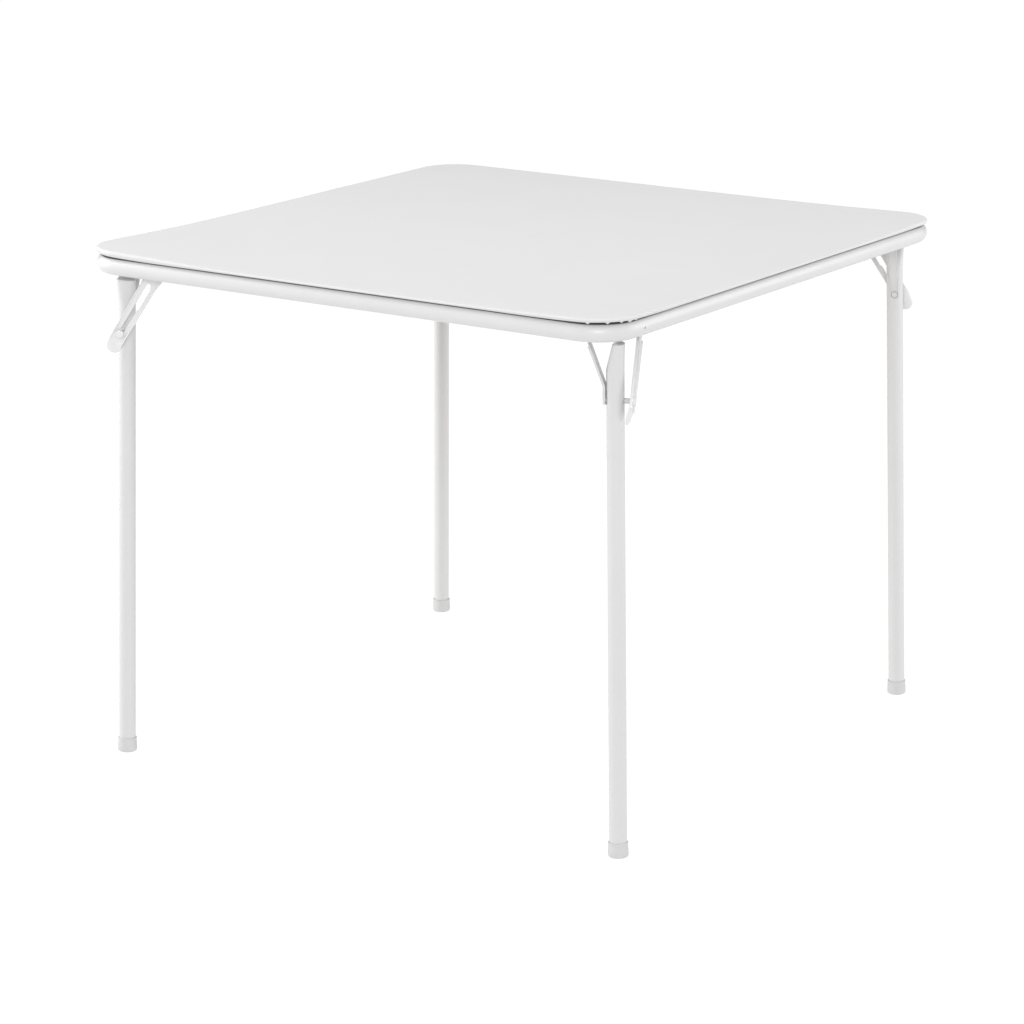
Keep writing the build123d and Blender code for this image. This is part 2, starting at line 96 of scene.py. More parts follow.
class Finish:
    """A material whose detail is worked out from the place on the piece."""

    def __init__(self, name, **constants):
        self.material = bpy.data.materials.new(name)
        self.material.use_nodes = True
        self.tree = self.material.node_tree
        self.shader = self.tree.nodes["Principled BSDF"]
        for word, value in constants.items():
            socket = word.replace("_", " ").title().replace("Ior", "IOR")
            self.shader.inputs[socket].default_value = value
        self.place = self.node("ShaderNodeTexCoord", output="Object")

    def node(self, kind, settings=None, inputs=None, output=0):
        made = self.tree.nodes.new(kind)
        for word, value in (settings or {}).items():
            setattr(made, word, value)
        for key, value in (inputs or {}).items():
            if isinstance(value, Wire):
                self.tree.links.new(value.socket, made.inputs[key])
            else:
                made.inputs[key].default_value = value
        return Wire(self, made.outputs[output])

    def maths(self, operation, first, second=0.0):
        return self.node("ShaderNodeMath", {"operation": operation}, {0: first, 1: second})

    def noise(self, size, detail=2.0):
        """Soft blotches about as large as the size given, from 0 to 1."""
        inputs = {"Vector": self.place, "Scale": 1 / size, "Detail": detail}
        return self.node("ShaderNodeTexNoise", {}, inputs)

    def along(self, axis):
        return self.node("ShaderNodeSeparateXYZ", {}, {"Vector": self.place}, output=axis)

    def blend(self, factor, first, second):
        """A mix of two colours: the Mix node's inputs 6 and 7, with the result at its output 2."""
        inputs = {"Factor": factor, 6: first, 7: second}
        return self.node("ShaderNodeMix", {"data_type": "RGBA"}, inputs, output=2)

    def feed(self, word, wire):
        self.tree.links.new(wire.socket, self.shader.inputs[word])

    def raise_surface(self, height, depth, strength=1.0):
        """Bumps of the height given, from 0 to 1, as deep as the depth in metres."""
        inputs = {"Height": height, "Distance": depth, "Strength": strength}
        self.feed("Normal", self.node("ShaderNodeBump", {}, inputs, output="Normal"))


def grey(level):
    return (level, level, level, 1)


half_floor = 15.0
floor_corners = [(-half_floor, -half_floor, 0), (half_floor, -half_floor, 0),
                 (half_floor, half_floor, 0), (-half_floor, half_floor, 0)]
floor_paint = Finish("studio_floor", roughness=0.9, specular_ior_level=0.1, emission_color=(1, 1, 1, 1),
                     emission_strength=0.95)
floor_paint.feed("Base Color", floor_paint.blend(floor_paint.noise(2.0), grey(0.10), grey(0.12)))
floor_mesh = bpy.data.meshes.new("studio_floor")
floor_mesh.from_pydata(floor_corners, [], [(0, 1, 2, 3)])
floor_mesh.materials.append(floor_paint.material)
studio_floor = bpy.data.objects.new("studio_floor", floor_mesh)
bpy.context.scene.collection.objects.link(studio_floor)

studio_air = bpy.data.worlds.new("studio_air")
studio_air.use_nodes = True
studio_air.node_tree.nodes["Background"].inputs["Color"].default_value = (1, 1, 1, 1)
studio_air.node_tree.nodes["Background"].inputs["Strength"].default_value = 0.42
bpy.context.scene.world = studio_air
bpy.context.scene.view_settings.view_transform = "Standard"

# Each soft box: its name, place, aim, side in metres and watts.
soft_boxes = (("box_above", (0.2, -0.4, 3.2), (0, 0, 0.7), 2.4, 47),
              ("box_left", (-2.4, -1.0, 1.3), (-0.1, -0.1, 0.5), 1.8, 54),
              ("box_right", (2.1, 1.7, 1.4), (0.1, 0.1, 0.5), 1.8, 31),
              ("box_behind_viewer", (3.4, -5.0, 2.6), (0, 0, 0.5), 2.2, 178))
for name, place, aim, side, watts in soft_boxes:
    box = bpy.data.lights.new(name, "AREA")
    box.shape = "SQUARE"
    box.size = side
    box.energy = watts
    lamp = bpy.data.objects.new(name, box)
    lamp.location = place
    lamp.rotation_euler = (Vector(aim) - Vector(place)).to_track_quat("-Z", "Y").to_euler()
    bpy.context.scene.collection.objects.link(lamp)

# Frame rail.
# A ring of steel tube under the edge of the top, bent at the corners, welded at one place
# and powder-coated white with the brackets and clips that are welded to it.
mm = 0.001
half_side = 431.8
corner_radius = 60.0
rail_top = 707.3

# The seam between the rail and the top is painted dark, in place of the deep shade that it has.
seam_from = rail_top - 2.4
seam_full = rail_top - 1.6
seam_insets = (13, 14)
seam_share = 0.85


def edge_inset(finish):
    """How far in from the table's round-cornered outline a place lies, up to the corner's radius."""
    straight_half = (half_side - corner_radius) * mm
    past = []
    for axis in "XY":
        from_middle = finish.maths("ABSOLUTE", finish.along(axis))
        past.append(finish.maths("MAXIMUM", from_middle - straight_half))
    return corner_radius * mm - (past[0] * past[0] + past[1] * past[1]) ** 0.5


def powder_coat(name, low, high):
    """White polyester powder, baked on: faint orange peel, slight clouds, and painted shade in the seam under
    the top.
    """
    finish = Finish(name, roughness=0.38, coat_weight=0.15, coat_roughness=0.2)
    cloud = finish.noise(60 * mm, detail=3.0)
    peel = finish.noise(1.6 * mm, detail=1.0)
    under_top = finish.along("Z").from_to(seam_from * mm, seam_full * mm)
    near_edge = 1 - edge_inset(finish).from_to(*(inset * mm for inset in seam_insets))
    coat = finish.blend(cloud, grey(low), grey(high))
    # The seam under the top is mixed towards near black here: painted shade, not a colour of the paint.
    finish.feed("Base Color", finish.blend(under_top * near_edge * seam_share, coat, grey(0.05)))
    finish.feed("Roughness", 0.34 + cloud * 0.08)
    finish.raise_surface(peel, 0.04 * mm)
    return finish


powder = powder_coat("white_powder_coat", 0.575, 0.60)


def show(name, mesh, finish, body, sharp_from=35):
    """A finished mesh becomes a piece that rides on a body."""
    mesh.materials.clear()
    mesh.materials.append(finish.material)
    mesh.shade_smooth()
    mesh.set_sharp_from_angle(angle=math.radians(sharp_from))
    piece = bpy.data.objects.new(name, mesh)
    bpy.context.scene.collection.objects.link(piece)
    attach(piece, body)
    return piece


smallest_gap = 0.004 * mm
flat_within = math.radians(0.6)
edge_from = math.radians(40)


def dressed(node, finish, body, edge=0.0):
    """A copy of a node's solid, its loose triangles joined and its edges rounded as paint rounds them."""
    work = bmesh.new()
    work.from_mesh(nodes[node].data)
    bmesh.ops.remove_doubles(work, verts=work.verts, dist=smallest_gap)
    if edge:
        bmesh.ops.dissolve_limit(work, angle_limit=flat_within, verts=work.verts, edges=work.edges)
        shared = [line for line in work.edges if len(line.link_faces) == 2]
        corners = [line for line in shared if line.calc_face_angle() > edge_from]
        bmesh.ops.bevel(work, geom=corners, offset=edge, segments=2, profile=0.5, affect="EDGES",
                        clamp_overlap=True)
        bmesh.ops.remove_doubles(work, verts=work.verts, dist=smallest_gap / 2)
    mesh = bpy.data.meshes.new("painted_" + node)
    work.to_mesh(mesh)
    work.free()
    piece = show("painted_" + node, mesh, finish, body)
    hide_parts(node)


dressed("frame_rail", powder, "table_frame")

# Corner brackets and panel clips.
# Stamped steel: a plate under each corner with three ears folded down for the leg's hinge
# and the lock brace, and small tabs along the rail that the panel is screwed to.
corner_names = ("front_left", "front_right", "back_right", "back_left")
for corner in corner_names:
    dressed("corner_bracket_" + corner, powder, "table_frame", edge=0.35 * mm)
dressed("panel_clips", powder, "table_frame", edge=0.3 * mm)


# Weld beads.
# Short runs of weld metal where the brackets and clips meet the rail: small drops strung along
# the joint by a tree of nodes, under the same powder coat.
class Recipe:
    """A tree of geometry nodes with named sizes, which grows a piece on points or paths."""

    def __init__(self, name):
        self.group = bpy.data.node_groups.new(name, "GeometryNodeTree")
        self.group.interface.new_socket("Geometry", in_out="INPUT", socket_type="NodeSocketGeometry")
        self.group.interface.new_socket("Geometry", in_out="OUTPUT", socket_type="NodeSocketGeometry")
        self.entry = self.group.nodes.new("NodeGroupInput")
        self.exit = self.group.nodes.new("NodeGroupOutput")
        self.sizes = {}

    def size(self, name, value):
        """A named length, kept for the modifier by its socket's identifier."""
        socket = self.group.interface.new_socket(name, in_out="INPUT", socket_type="NodeSocketFloat")
        self.sizes[socket.identifier] = value
        return self.entry.outputs[name]

    def node(self, kind, settings, inputs):
        made = self.group.nodes.new(kind)
        for word, value in settings.items():
            setattr(made, word, value)
        for key, value in inputs.items():
            for link in value if isinstance(value, list) else [value]:
                if isinstance(link, bpy.types.NodeSocket):
                    self.group.links.new(link, made.inputs[key])
                else:
                    made.inputs[key].default_value = link
        return made.outputs[0]

    def vector(self, x, y, z):
        return self.node("ShaderNodeCombineXYZ", {}, {"X": x, "Y": y, "Z": z})

    def times(self, first, second):
        return self.node("ShaderNodeMath", {"operation": "MULTIPLY"}, {0: first, 1: second})

    def grown(self, name, start, shape, finish):
        """The tree closed with a finish and run on the starting mesh, as a plain mesh."""
        real = self.node("GeometryNodeRealizeInstances", {}, {"Geometry": shape})
        coated = self.node("GeometryNodeSetMaterial", {}, {"Geometry": real, "Material": finish.material})
        self.group.links.new(coated, self.exit.inputs["Geometry"])
        source = bpy.data.objects.new(name + "_source", start)
        bpy.context.scene.collection.objects.link(source)
        modifier = source.modifiers.new("recipe", "NODES")
        modifier.node_group = self.group
        for identifier, value in self.sizes.items():
            modifier[identifier] = value
        graph = bpy.context.evaluated_depsgraph_get()
        mesh = bpy.data.meshes.new_from_object(source.evaluated_get(graph))
        source.modifiers.remove(modifier)
        bpy.data.objects.remove(source)
        mesh.name = name
        return mesh


def corner_place(corner):
    """From lengths along and across from a corner of the outline to the room's."""
    return (Matrix.Rotation(math.pi / 2 * corner, 4, "Z")
            @ Matrix.Translation((-half_side * mm, -half_side * mm, 0)))


weld_line = 20.2
web_weld_height = 704.6
clip_weld_line = 19.4
clip_weld_height = 705.1
clip_along = 164.08
clip_middles = (half_side - clip_along, half_side + clip_along)
clip_weld_ends = (-9, 9)
bracket_weld_starts = (68, 112)
bracket_weld_length = 24
side_weld = (64, 84)
bend_weld_turns = range(20, 71, 10)
weld_radius = corner_radius - weld_line
bracket_welds = []
for start in bracket_weld_starts:
    bracket_welds.append([(start, weld_line), (start + bracket_weld_length, weld_line)])
bracket_welds.append([(weld_line, end) for end in side_weld])
bend_weld = []
for turn in bend_weld_turns:
    bend_weld.append((corner_radius - weld_radius * math.cos(math.radians(turn)),
                      corner_radius - weld_radius * math.sin(math.radians(turn))))
bracket_welds.append(bend_weld)
paths = []
for corner in range(4):
    for run in bracket_welds:
        spots = [Vector((x * mm, y * mm, web_weld_height * mm)) for x, y in run]
        paths.append([corner_place(corner) @ spot for spot in spots])
    for middle in clip_middles:
        spots = [Vector(((middle + end) * mm, clip_weld_line * mm, clip_weld_height * mm))
                 for end in clip_weld_ends]
        paths.append([corner_place(corner) @ spot for spot in spots])
weld_points = [point for path in paths for point in path]
weld_edges = []
points_before = 0
for path in paths:
    for step in range(len(path) - 1):
        weld_edges.append((points_before + step, points_before + step + 1))
    points_before += len(path)
weld_lines = bpy.data.meshes.new("weld_lines")
weld_lines.from_pydata(weld_points, weld_edges, [])
weld = Recipe("weld_bead")
pitch = weld.size("Ripple pitch", 1.1 * mm)
width = weld.size("Bead width", 2.6 * mm)
drop = weld.node("GeometryNodeMeshUVSphere", {},
                 {"Segments": 8, "Rings": 6, "Radius": weld.times(width, 0.5)})
rope = weld.node("GeometryNodeMeshToCurve", {}, {"Mesh": weld.entry.outputs["Geometry"]})
rope = weld.node("GeometryNodeResampleCurve", {"mode": "LENGTH"}, {"Curve": rope, "Length": pitch})
uneven = weld.node("FunctionNodeRandomValue", {"data_type": "FLOAT_VECTOR"},
                   {0: (0.85, 0.85, 0.85), 1: (1.1, 1.1, 1.0), "Seed": 5})
ripples = weld.node("GeometryNodeInstanceOnPoints", {}, {"Points": rope, "Instance": drop, "Scale": uneven})
weld_mesh = weld.grown("weld_beads", weld_lines, ripples, powder)
show("weld_beads", weld_mesh, powder, "table_frame", sharp_from=70)

# Hardboard panel.
# Pressed wood fibre, brown, with the print of the press's wire screen on its lower face. The
# pull of the gathered vinyl curls its corners up a little, away from the rail.
cover_bottom = 707.4
corner_steps = 110
side_steps = 56
panel_thickness = 3.8
least_radius = 2.0

# Each corner's curl: its side in X and Y, the underside's lift, the top's own lift beyond its
# share of that, and how far in from the corner the top's lift reaches.
curls = ((1, -1, 1.9, 2.2, 150.0),
         (1, 1, 1.6, 2.6, 150.0),
         (-1, 1, 0.6, -0.3, 150.0),
         (-1, -1, 2.3, 5.4, 170.0))
under_reach = 62.0
shared_lift = 0.4


def square_ring(inset, height):
    """Points round the table at an inset from its edge. Each has its quarter and, on a corner, the
    angle round it."""
    radius = max(corner_radius - inset, least_radius)
    centre = half_side - inset - radius
    points = []
    for quarter in range(4):
        turn = math.pi / 2 * quarter
        cos_turn, sin_turn = math.cos(turn), math.sin(turn)
        local = []
        for step in range(side_steps):
            local.append((centre * (2 * step / side_steps - 1), -centre - radius, None))
        for step in range(corner_steps):
            angle = math.pi / 2 * step / corner_steps - math.pi / 2
            local.append((centre + radius * math.cos(angle), -centre + radius * math.sin(angle),
                          math.degrees(angle)))
        for x, y, round_corner in local:
            turned_x = x * cos_turn - y * sin_turn
            turned_y = x * sin_turn + y * cos_turn
            points.append((turned_x, turned_y, height, quarter, round_corner))
    return points


def curled(x, y, height):
    """A point of the panel in metres, lifted near a corner: the top and the underside by their own lifts."""
    share = min(1.0, max(0.0, height / panel_thickness))
    lift = 0.0
    for side_x, side_y, under, over, reach in curls:
        away = math.hypot(x - side_x * half_side, y - side_y * half_side)
        lift += under * math.exp(-(away / under_reach) ** 2) * (1 - share)
        lift += (under * shared_lift + over) * math.exp(-(away / reach) ** 2) * share
    return (x * mm, y * mm, (cover_bottom + height + lift) * mm)


def curled_ring(inset, height):
    return [curled(*point[:3]) for point in square_ring(inset, height)]


def ringed_mesh(name, rings):
    """Quads between rings of points, and a closing face at each end."""
    work = bmesh.new()
    loops = [[work.verts.new(point) for point in ring] for ring in rings]
    count = len(loops[0])
    for first, second in zip(loops, loops[1:]):
        for index in range(count):
            after = (index + 1) % count
            work.faces.new((first[index], first[after], second[after], second[index]))
    for loop in (loops[0], loops[-1]):
        work.faces.new(loop)
    bmesh.ops.recalc_face_normals(work, faces=work.faces)
    mesh = bpy.data.meshes.new(name)
    work.to_mesh(mesh)
    work.free()
    return mesh


screen_pitch = 2.2 * mm
hardboard = Finish("pressed_hardboard", roughness=0.72, specular_ior_level=0.3)
fibre = hardboard.noise(1.2 * mm, detail=4.0)
patch = hardboard.noise(70 * mm, detail=3.0)
weft = hardboard.maths("SINE", hardboard.along("X") * (2 * math.pi / screen_pitch))
warp = hardboard.maths("SINE", hardboard.along("Y") * (2 * math.pi / screen_pitch))
wire_print = weft * warp * 0.5 + 0.5
brown = hardboard.blend(patch * 0.5 + fibre * 0.5, (0.13, 0.070, 0.036, 1), (0.30, 0.18, 0.10, 1))
hardboard.feed("Base Color", hardboard.blend(wire_print * 0.25, brown, (0.10, 0.055, 0.030, 1)))
hardboard.feed("Roughness", 0.66 + fibre * 0.14)
hardboard.raise_surface(wire_print * 0.7 + fibre * 0.3, 0.18 * mm)

# Rings of the board, as insets from the table's edge and heights over the cover's bottom.
board_rings = ((421.0, 0.56), (300.0, 0.56), (200.0, 0.56), (120.0, 0.56), (70.0, 0.56), (44.0, 0.56),
               (20.0, 0.56), (6.0, 0.56), (2.9, 0.6), (2.1, 0.75), (1.5, 0.98), (1.05, 1.32),
               (0.78, 1.76), (0.63, 2.2), (0.76, 2.64), (6.0, 2.66), (44.0, 2.66), (120.0, 2.66),
               (200.0, 2.66), (300.0, 2.66), (421.0, 2.66))
board_top_limit = 711.1 * mm
board_mesh = ringed_mesh("pressed_board", [curled_ring(inset, height) for inset, height in board_rings])
for vertex in board_mesh.vertices:
    vertex.co.z = min(vertex.co.z, board_top_limit)
pressed_board = show("pressed_board", board_mesh, hardboard, "table_frame", sharp_from=50)
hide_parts("hardboard_panel")

# Padded top.
# White vinyl with a fine pebble grain, bonded over thin foam, wrapped round the edge of the
# hardboard and stapled under it. The surplus at each corner is gathered into small pleats.

# Rings of the cover: from the middle of the top over the edge, in along the hem and back, and
# over the board to the middle. Insets from the table's edge, heights over the cover's bottom.
top_rings = (421.0, 400.0, 365.0, 330.0, 295.0, 260.0, 230.0, 200.0, 175.0, 150.0, 130.0, 110.0, 94.0,
             78.0, 66.0, 54.0, 45.0, 36.0, 30.0, 24.0, 16.0, 11.0, 8.0)
edge_rings = ((6.0, 3.80), (4.4, 3.79), (3.2, 3.75), (2.3, 3.67), (1.6, 3.54), (1.0, 3.36), (0.6, 3.12),
              (0.3, 2.84), (0.08, 2.46), (0.0, 2.06), (0.1, 1.62), (0.38, 1.16), (0.85, 0.76),
              (1.45, 0.43), (2.1, 0.2), (2.8, 0.07), (3.6, 0.01), (4.5, 0.0), (5.5, 0.0), (6.6, 0.0),
              (8.0, 0.0))
hem_rings = ((16.0, 0.0), (28.0, 0.0), (43.6, 0.0), (44.0, 0.12), (44.0, 0.36), (43.6, 0.47),
             (28.0, 0.47), (8.0, 0.47), (3.6, 0.48), (2.8, 0.54), (2.1, 0.67), (1.45, 0.9), (0.95, 1.24),
             (0.7, 1.7), (0.55, 2.15), (0.66, 2.70), (1.5, 2.74), (8.0, 2.74), (60.0, 2.74),
             (120.0, 2.74), (200.0, 2.74), (300.0, 2.74), (421.0, 2.74))

# Pleats of each corner, from the front right one round to the front left: the angle in degrees,
# the half width in mm and the size.
pleats = (((-70.5, 2.0, 1.0), (-45.5, 2.2, 1.1), (-26.8, 1.7, 0.9), (-13.5, 2.4, 1.1), (-2.0, 1.6, 0.6)),
          ((-52.0, 1.8, 0.8), (-42.0, 2.2, 1.0), (-31.0, 2.4, 1.1), (-19.0, 1.8, 0.9), (-8.0, 2.0, 0.9)),
          ((-75.0, 2.2, 1.0), (-58.0, 1.7, 0.8), (-41.0, 2.3, 1.1), (-22.0, 2.0, 1.0), (-9.0, 1.7, 0.7)),
          ((-84.0, 1.6, 0.7), (-76.0, 2.3, 1.1), (-68.0, 1.9, 0.9), (-60.0, 2.3, 1.0)))
pleat_drop = 2.2
side_droop = 0.3
droop_fade = 60.0
hang_below = 0.5
hang_within = 7.9

# The vinyl inside the seam is painted dark as painted shade, as the rail is, from its edge's lower half
# inwards.
tuck_full = cover_bottom + 2.0
tuck_end = cover_bottom + 2.5
tuck_outer_insets = (4, 6)
tuck_inner_insets = (19, 22)
tuck_share = 0.8


def pleat_rise(quarter, angle):
    """How much of a pleat hangs at this angle round a corner: 0 between pleats, about 1 at one."""
    rise = 0.0
    for centre, width, size in pleats[quarter]:
        along = (angle - centre) * math.radians(1) * corner_radius / width
        rise = max(rise, size * math.exp(-along * along))
    return rise


def gathered(point, inset):
    """The point hung down by the pleats at a corner, or by the slight droop along a side."""
    x, y, height, quarter, angle = point
    if height < hang_below and inset < hang_within:
        under = math.sin(math.pi * inset / hang_within)
        if angle is None:
            side_place = abs(x) if abs(y) > abs(x) else abs(y)
            fade = min(1.0, max(0.0, (half_side - corner_radius - side_place) / droop_fade))
            height -= side_droop * fade * under
        else:
            height -= pleat_drop * pleat_rise(quarter, angle) * under
    return curled(x, y, height)


cover_rings = [curled_ring(inset, panel_thickness) for inset in top_rings]
for inset, height in edge_rings:
    cover_rings.append([gathered(point, inset) for point in square_ring(inset, height)])
for inset, height in hem_rings:
    cover_rings.append(curled_ring(inset, height))

vinyl = Finish("white_vinyl", roughness=0.6, specular_ior_level=0.28)
ripple = vinyl.noise(3.0 * mm, detail=2.0)
wobble = vinyl.node("ShaderNodeTexNoise", {}, {"Vector": vinyl.place, "Scale": 1 / (2.5 * mm)},
                    output="Color")
shift = vinyl.node("ShaderNodeVectorMath", {"operation": "SCALE"}, {0: wobble, "Scale": 0.8 * mm})
bent_place = vinyl.node("ShaderNodeVectorMath", {"operation": "ADD"}, {0: vinyl.place, 1: shift})
pebble = vinyl.node("ShaderNodeTexVoronoi", {"feature": "SMOOTH_F1"},
                    {"Vector": bent_place, "Scale": 1 / (1.3 * mm), "Smoothness": 0.6}, output="Distance")
tone = vinyl.noise(90 * mm, detail=3.0)
low_down = 1 - vinyl.along("Z").from_to(tuck_full * mm, tuck_end * mm)
past_edge = edge_inset(vinyl).from_to(*(inset * mm for inset in tuck_outer_insets))
over_rail = 1 - edge_inset(vinyl).from_to(*(inset * mm for inset in tuck_inner_insets))
tucked = low_down * past_edge * over_rail
white = vinyl.blend(tone, grey(0.59), grey(0.61))
# The tucked vinyl is mixed towards dark grey here: painted shade in the seam, not a colour of the vinyl.
vinyl.feed("Base Color", vinyl.blend(tucked * tuck_share, white, grey(0.06)))
vinyl.feed("Roughness", 0.56 + pebble * 0.12)
vinyl.raise_surface(1 - pebble * 0.8 + ripple * 0.2, 0.10 * mm, 0.7)
cover_mesh = ringed_mesh("padded_top", cover_rings)
padded_top = show("padded_top", cover_mesh, vinyl, "table_frame", sharp_from=50)
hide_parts("vinyl_cover", "foam_pad")

# Screws, staples and hinge pins.
# Bright zinc-plated steel: pan-head screws through the clips and brackets, flat staples through
# the hem, and a headed pin with two washers at each leg's hinge.
zinc = Finish("zinc_plate", roughness=0.35, metallic=1.0)
zinc_tone = zinc.noise(4 * mm)
zinc.feed("Base Color", zinc.blend(zinc_tone, (0.62, 0.63, 0.65, 1), (0.72, 0.73, 0.74, 1)))
zinc.feed("Roughness", 0.28 + zinc_tone * 0.16)
clip_screw_inset = 37.4
clip_seat = 705.75
bracket_screw_place = (78.0, 38.0)
bracket_seat = 705.25
screw_points = []
for corner in range(4):
    for middle in clip_middles:
        seat = Vector((middle, clip_screw_inset, clip_seat)) * mm
        screw_points.append(corner_place(corner) @ seat)
    seat = Vector((*bracket_screw_place, bracket_seat)) * mm
    screw_points.append(corner_place(corner) @ seat)
screw_seats = bpy.data.meshes.new("screw_seats")
screw_seats.from_pydata(screw_points, [], [])
screw = Recipe("pan_head_screw")
head_width = screw.size("Head width", 7.0 * mm)
head_height = screw.size("Head height", 2.2 * mm)
recess_length = screw.size("Recess length", 4.2 * mm)
recess_width = screw.size("Recess width", 0.9 * mm)
head_radius = screw.times(head_width, 0.5)
ball = screw.node("GeometryNodeMeshUVSphere", {}, {"Segments": 32, "Rings": 24, "Radius": head_radius})
flatness = screw.node("ShaderNodeMath", {"operation": "DIVIDE"},
                      {0: screw.times(head_height, 2.0), 1: head_width})
flattened = screw.node("GeometryNodeTransform", {}, {"Geometry": ball, "Scale": screw.vector(1, 1, flatness)})
box_side = screw.times(head_width, 2)
box = screw.node("GeometryNodeMeshCube", {}, {"Size": screw.vector(box_side, box_side, head_width)})
upper_half = screw.node("GeometryNodeTransform", {},
                        {"Geometry": box, "Translation": screw.vector(0, 0, head_radius)})
recess_place = screw.vector(0, 0, screw.times(head_height, -1))
bars = []
for length, breadth in ((recess_length, recess_width), (recess_width, recess_length)):
    bar = screw.node("GeometryNodeMeshCube", {}, {"Size": screw.vector(length, breadth, head_height)})
    bars.append(screw.node("GeometryNodeTransform", {}, {"Geometry": bar, "Translation": recess_place}))
head = screw.node("GeometryNodeMeshBoolean", {"operation": "DIFFERENCE", "solver": "EXACT"},
                  {"Mesh 1": flattened, "Mesh 2": [upper_half, *bars]})
turned = screw.node("FunctionNodeRandomValue", {"data_type": "FLOAT_VECTOR"},
                    {0: (0, 0, 0), 1: (0, 0, 1.5), "Seed": 3})
heads = screw.node("GeometryNodeInstanceOnPoints", {},
                   {"Points": screw.entry.outputs["Geometry"], "Instance": head, "Rotation": turned})
head_mesh = screw.grown("pan_head_screws", screw_seats, heads, zinc)
pan_heads = show("pan_head_screws", head_mesh, zinc, "table_frame")
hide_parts("panel_screws")

staple_inset = 32.0
staple_pitch = 56.0
staple_height = 707.15
staples_each_way = 5

# The third staple each way would lie over a clip, so it's left out.
skipped_staple = 3
staple_points = []
staple_turns = []
for corner in range(4):
    for step in range(-staples_each_way, staples_each_way + 1):
        if abs(step) == skipped_staple:
            continue
        seat = Vector((half_side + step * staple_pitch, staple_inset, staple_height)) * mm
        staple_points.append(corner_place(corner) @ seat)
        staple_turns.append((0.0, 0.0, math.pi / 2 * corner))
staple_seats = bpy.data.meshes.new("staple_seats")
staple_seats.from_pydata(staple_points, [], [])
turn_values = [value for turn in staple_turns for value in turn]
staple_seats.attributes.new("turn", "FLOAT_VECTOR", "POINT").data.foreach_set("vector", turn_values)
staple = Recipe("hem_staple")
crown = staple.size("Crown length", 9.5 * mm)
wire_width = staple.size("Wire width", 1.2 * mm)
wire_thickness = staple.size("Wire thickness", 0.5 * mm)
leg_length = staple.size("Leg length", 1.6 * mm)
loop = staple.node("GeometryNodeCurvePrimitiveQuadrilateral", {}, {"Width": crown, "Height": leg_length})
loop = staple.node("GeometryNodeFilletCurve", {"mode": "POLY"},
                   {"Curve": loop, "Count": 3, "Radius": wire_thickness})
profile = staple.node("GeometryNodeCurvePrimitiveQuadrilateral", {},
                      {"Width": wire_thickness, "Height": wire_width})
flat_loop = staple.node("GeometryNodeCurveToMesh", {}, {"Curve": loop, "Profile Curve": profile})
raised = staple.vector(0, 0, staple.times(leg_length, 0.5))
bent_wire = staple.node("GeometryNodeTransform", {},
                        {"Geometry": flat_loop, "Rotation": (math.pi / 2, 0, 0), "Translation": raised})
turn = staple.node("GeometryNodeInputNamedAttribute", {"data_type": "FLOAT_VECTOR"}, {"Name": "turn"})
staples = staple.node("GeometryNodeInstanceOnPoints", {},
                      {"Points": staple.entry.outputs["Geometry"], "Instance": bent_wire, "Rotation": turn})
staple_mesh = staple.grown("wire_staples", staple_seats, staples, zinc)
wire_staples = show("wire_staples", staple_mesh, zinc, "table_frame")
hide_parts("hem_staples")
for corner in corner_names:
    dressed("hinge_pin_" + corner, zinc, "table_frame", edge=0.25 * mm)
    dressed("hinge_washers_" + corner, zinc, "table_frame", edge=0.1 * mm)

# Leg tubes.
# Round steel tube, powder-coated. The top of each is pressed flat from its inner side into a
# round-ended tongue that swings on the hinge pin between the bracket's ears.
hinge_place = (57.7 - half_side, 33.6 - half_side, 686.0)
fold_turn = math.radians(20.0)
axis_tilt = math.radians(0.93)
leg_lean = math.radians(1.5)
leg_radius = 11.6
leg_reach = hinge_place[2] / (math.cos(leg_lean) * math.cos(axis_tilt))
tongue_half = 11.4
tongue_sides = (-0.5, -3.5)
swage_start = 45.0
shoulder_start = 13.0
shoulder_half = 13.0
neck_start = 9.6
shoulder_side = 2.78
around = 56
tube_end = 4.0
end_rounding = 0.4
tube_heights = (tube_end, 4.4, 12.0, 24.0, 60.0, 160.0, 320.0, 480.0, 600.0, leg_reach - swage_start - 6)
swage_steps = 14
shoulder_steps = 8
tip_steps = 12


def leg_place(corner):
    """From the open leg's own frame, X the way it folds and Z up the leg, to the room's."""
    return (Matrix.Rotation(math.pi / 2 * corner, 4, "Z") @ Matrix.Translation(Vector(hinge_place) * mm)
            @ Matrix.Rotation(fold_turn, 4, "Z") @ Matrix.Rotation(-axis_tilt, 4, "X")
            @ Matrix.Rotation(leg_lean, 4, "Y"))


def eased(share):
    """From 0 to 1, gently at both ends."""
    return share * share * (3 - 2 * share)


def leg_ring(height, half_width, inner, outer, squareness):
    """One closed section across the leg, between its inner and outer sides."""
    power = 1 / (1 + squareness)
    ring = []
    for index in range(around):
        angle = 2 * math.pi * index / around
        across, along = math.cos(angle), math.sin(angle)
        x = half_width * math.copysign(abs(across) ** power, across)
        y = (inner + outer) / 2 + (inner - outer) / 2 * math.copysign(abs(along) ** power, along)
        ring.append((x * mm, y * mm, height * mm))
    return ring


